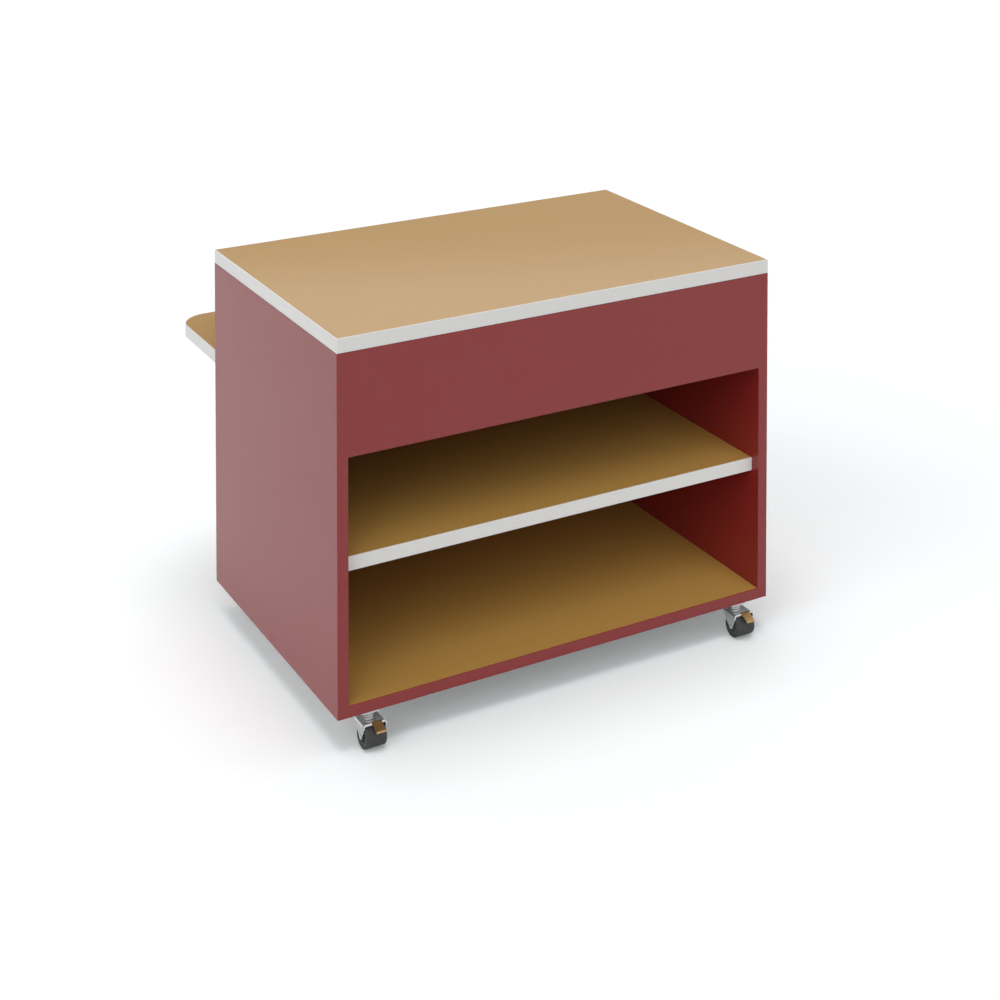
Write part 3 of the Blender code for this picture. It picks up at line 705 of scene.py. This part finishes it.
def pedal_shape():
    """Brake pedal about its pin: a sheet rolled round the pin, sloping down to a turned lip."""
    half = PEDAL_SHEET / 2
    roll = PEDAL_BARREL - half
    leave = 90 + math.degrees(PEDAL_SLOPE)
    path = [Vector(point) for point in arc((0, 0), roll, leave - PEDAL_WRAP, leave, 30)]
    start = path[-1]
    knee = start + PEDAL_LENGTH * PEDAL_RUN
    lip = Vector((-math.cos(PEDAL_LIP_SLOPE), -math.sin(PEDAL_LIP_SLOPE)))
    turn = PEDAL_LIP_SLOPE - PEDAL_SLOPE
    setback = PEDAL_BEND * math.tan(turn / 2)
    centre = knee - setback * PEDAL_RUN - PEDAL_BEND * PEDAL_UP
    path.append(start + 0.5 * (PEDAL_LENGTH - setback) * PEDAL_RUN)
    path += [Vector(point) for point in arc(centre, PEDAL_BEND, leave, leave + math.degrees(turn), 6)]
    path.append(knee + PEDAL_LIP * lip)
    upper, lower = [], []
    for i, point in enumerate(path):
        ahead = (path[min(i + 1, len(path) - 1)] - path[max(i - 1, 0)]).normalized()
        side = Vector((ahead.y, -ahead.x))
        upper.append(tuple(point + half * side))
        lower.append(tuple(point - half * side))
    plate = eased(prism(upper + lower[::-1], PEDAL_WIDTH, IN_YZ), PEDAL_EASE)
    bmesh.ops.translate(plate, vec=(PEDAL_OFFSET, 0, 0), verts=plate.verts)
    return plate


def shoe_shape():
    """Brake shoe under the pedal's sheet."""
    sole = (PEDAL_BARREL - PEDAL_SHEET) * PEDAL_UP
    tread = sole - SHOE_THICKNESS * PEDAL_UP
    near, far = SHOE_START * PEDAL_RUN, SHOE_END * PEDAL_RUN
    corners = [tuple(corner) for corner in (sole + near, sole + far, tread + far, tread + near)]
    block = eased(prism(corners, SHOE_WIDTH, IN_YZ), SHOE_EASE, 3)
    bmesh.ops.translate(block, vec=(PEDAL_OFFSET, 0, 0), verts=block.verts)
    return block


def make_casters():
    """Four casters on their bodies; the front two have brakes."""
    bearing = finished("caster_bearing", bearing_shape())
    kingpin = finished("caster_kingpin", kingpin_shape())
    axle = finished("caster_axle", rivet_shape(*AXLE))
    pedal_pin = finished("caster_pedal_pin", rivet_shape(*PEDAL_PIN))
    core = finished("caster_wheel_core", core_shape())
    tyre = finished("caster_tyre", tyre_shape())
    pedal = finished("caster_brake_pedal", pedal_shape())
    shoe = finished("caster_brake_shoe", shoe_shape())
    pitch = PLATE_HOLE_PITCH / 2
    turn, across, along = PLATE_TURNS
    for end in ("front", "rear"):
        for side in ("left", "right"):
            name = f"caster_{end}_{side}"
            swivel, wheel, brake = f"{name}_swivel", f"{name}_wheel", f"{name}_brake"
            low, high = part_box(f"{name}_plate")
            x, y = (low.x + high.x) / 2, (low.y + high.y) / 2
            hub = (x, y - TRAIL, AXLE_HEIGHT)
            dress(f"{name}_plate", copy_mesh(f"{name}_plate", PLATE_EASE), "zinc_steel")
            places = []
            for u in (-1, 1):
                for v in (-1, 1):
                    point = (x + u * pitch, y + v * pitch, low.z)
                    places.append((point, (0, 0, -1), turn + across * u + along * v))
            screw_set(f"{name}_plate_screws", places)
            dress(f"{name}_bearing", bearing, "zinc_steel", place=(x, y, 0))
            dress(f"{name}_kingpin", kingpin, "zinc_steel", place=(x, y, 0))
            dress(f"{name}_fork", copy_mesh(f"{name}_fork", FORK_EASE), "chrome", swivel)
            dress(f"{name}_axle", axle, "zinc_steel", swivel, hub)
            dress(f"{name}_wheel_core", core, "wheel_plastic", wheel, hub)
            dress(f"{name}_tyre", tyre, "tyre_rubber", wheel, hub)
            if end == "front":
                low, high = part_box(f"{name}_pedal_pin")
                pivot = (low + high) / 2
                dress(f"{name}_pedal_pin", pedal_pin, "zinc_steel", swivel, pivot)
                dress(f"{name}_brake_pedal", pedal, "yellow_steel", brake, pivot)
                piece(f"{name}_brake_shoe", shoe, "wheel_plastic", brake, (), pivot)


def make_camera():
    """Camera whose film plane stays upright, so that upright edges stay parallel as in the photograph."""
    right = Vector((math.cos(FILM_YAW), -math.sin(FILM_YAW), 0))
    forward = Vector((math.sin(FILM_YAW) * math.cos(FILM_PITCH), math.cos(FILM_YAW) * math.cos(FILM_PITCH),
                      -math.sin(FILM_PITCH)))
    up = right.cross(forward)
    middle = FRAME_PX / 2
    aim = FOCAL_PX * forward + (middle - PRINCIPAL_PX[0]) * right - (middle - PRINCIPAL_PX[1]) * up
    data = bpy.data.cameras.new("camera")
    data.sensor_width = SENSOR_MM
    data.lens = SENSOR_MM * aim.length / FRAME_PX
    camera = bpy.data.objects.new("camera", data)
    stand = bpy.data.objects.new("camera_stand", None)
    for obj in (camera, stand):
        bpy.context.scene.collection.objects.link(obj)
    back = -aim.normalized()
    camera.parent = stand
    camera.matrix_parent_inverse = Matrix((
        (right.x, up.x, back.x, EYE.x),
        (right.y, up.y, back.y, EYE.y),
        (right.z, up.z, back.z, EYE.z),
        (0, 0, 0, 1)))
    bpy.context.scene.camera = camera


def make_floor():
    """Plain floor: white to the eye and in reflections, and greyer in the light that it throws back.

    A faint glow, for the eye and reflections alone, keeps its shadow weak.
    """
    bpy.ops.mesh.primitive_plane_add(size=FLOOR_SIZE)
    floor = bpy.context.object
    floor.name = "floor"
    made = bpy.data.materials.new("floor")
    made.use_nodes = True
    tree = made.node_tree
    shader = tree.nodes["Principled BSDF"]
    shader.inputs["Roughness"].default_value = 1.0
    shader.inputs["Specular IOR Level"].default_value = 0.0
    seen = seen_ray(tree)
    colour = put(tree, "ShaderNodeMix", {"Factor": seen}, data_type="RGBA")
    colour.inputs[6].default_value = (FLOOR_BOUNCE, FLOOR_BOUNCE, FLOOR_BOUNCE, 1)
    colour.inputs[7].default_value = (*FLOOR_SEEN, 1)
    tree.links.new(colour.outputs[2], shader.inputs["Base Color"])
    fill = put(tree, "ShaderNodeMath", {0: seen, 1: FLOOR_FILL}, operation="MULTIPLY")
    shader.inputs["Emission Color"].default_value = (*FLOOR_SEEN, 1)
    tree.links.new(fill.outputs[0], shader.inputs["Emission Strength"])
    floor.data.materials.append(made)
    return floor


def seen_ray(tree):
    """1 for what the camera sees, itself, mirrored or through glass, and 0 for light on a surface."""
    path = put(tree, "ShaderNodeLightPath")
    direct = put(tree, "ShaderNodeMath", operation="MAXIMUM")
    tree.links.new(path.outputs["Is Camera Ray"], direct.inputs[0])
    tree.links.new(path.outputs["Is Glossy Ray"], direct.inputs[1])
    seen = put(tree, "ShaderNodeMath", operation="MAXIMUM")
    tree.links.new(direct.outputs[0], seen.inputs[0])
    tree.links.new(path.outputs["Is Transmission Ray"], seen.inputs[1])
    return seen.outputs[0]


def make_lamp(name, kind, direction, place=(0, 0, 5)):
    """A lamp whose light comes from a direction."""
    data = bpy.data.lights.new(name, kind)
    lamp = bpy.data.objects.new(name, data)
    bpy.context.scene.collection.objects.link(lamp)
    lamp.location = place
    lamp.rotation_euler = direction.to_track_quat("Z", "Y").to_euler()
    lamp.visible_camera = False
    return lamp


def make_sun(name, level, direction, angle):
    """A soft light from far away; the level is on a surface that faces it."""
    lamp = make_lamp(name, "SUN", direction)
    lamp.data.energy = level * math.pi
    lamp.data.angle = angle
    lamp.visible_glossy = False
    return lamp


def make_light(floor):
    """White surroundings, soft lights from the front, left and back, and one on the floor alone.

    A panel that only reflections see gives the worktop its sheen.
    """
    world = bpy.data.worlds.new("world")
    bpy.context.scene.world = world
    world.use_nodes = True
    tree = world.node_tree
    tree.nodes.clear()
    soft = put(tree, "ShaderNodeBackground", {"Color": (1, 1, 1, 1), "Strength": AMBIENT})
    white = put(tree, "ShaderNodeBackground", {"Color": (1, 1, 1, 1), "Strength": 1.0})
    mix = put(tree, "ShaderNodeMixShader", {0: seen_ray(tree), 1: soft.outputs[0], 2: white.outputs[0]})
    put(tree, "ShaderNodeOutputWorld", {"Surface": mix.outputs[0]})

    make_sun("left", LEFT, LEFT_FROM, LEFT_SPREAD)
    front = make_sun("front", FRONT, FRONT_FROM, FRONT_SPREAD)
    back = make_sun("back", BACK, BACK_FROM, BACK_SPREAD)
    above = make_sun("floor", FLOOR_LIGHT, FLOOR_FROM, FLOOR_SPREAD)
    for lamp, state in ((front, "EXCLUDE"), (back, "EXCLUDE"), (above, "INCLUDE")):
        group = bpy.data.collections.new(f"{lamp.name}_light")
        group.objects.link(floor)
        group.collection_objects[0].light_linking.link_state = state
        lamp.light_linking.receiver_collection = group
    panel = make_lamp("panel", "AREA", PANEL_FROM, PANEL_PLACE)
    panel.rotation_euler.rotate_axis("Z", PANEL_ROLL)
    panel.data.shape = "RECTANGLE"
    panel.data.size, panel.data.size_y = PANEL_SIZE
    panel.visible_diffuse = False
    panel.data.energy = PANEL_GLOW * math.pi * PANEL_SIZE[0] * PANEL_SIZE[1]


FINISHES = make_finishes()
SCREW = screw_shape()
make_boards()
make_bottom()
make_tray()
make_brackets()
make_angles()
make_casters()
make_camera()
make_light(make_floor())
bpy.context.scene.view_settings.view_transform = "Standard"
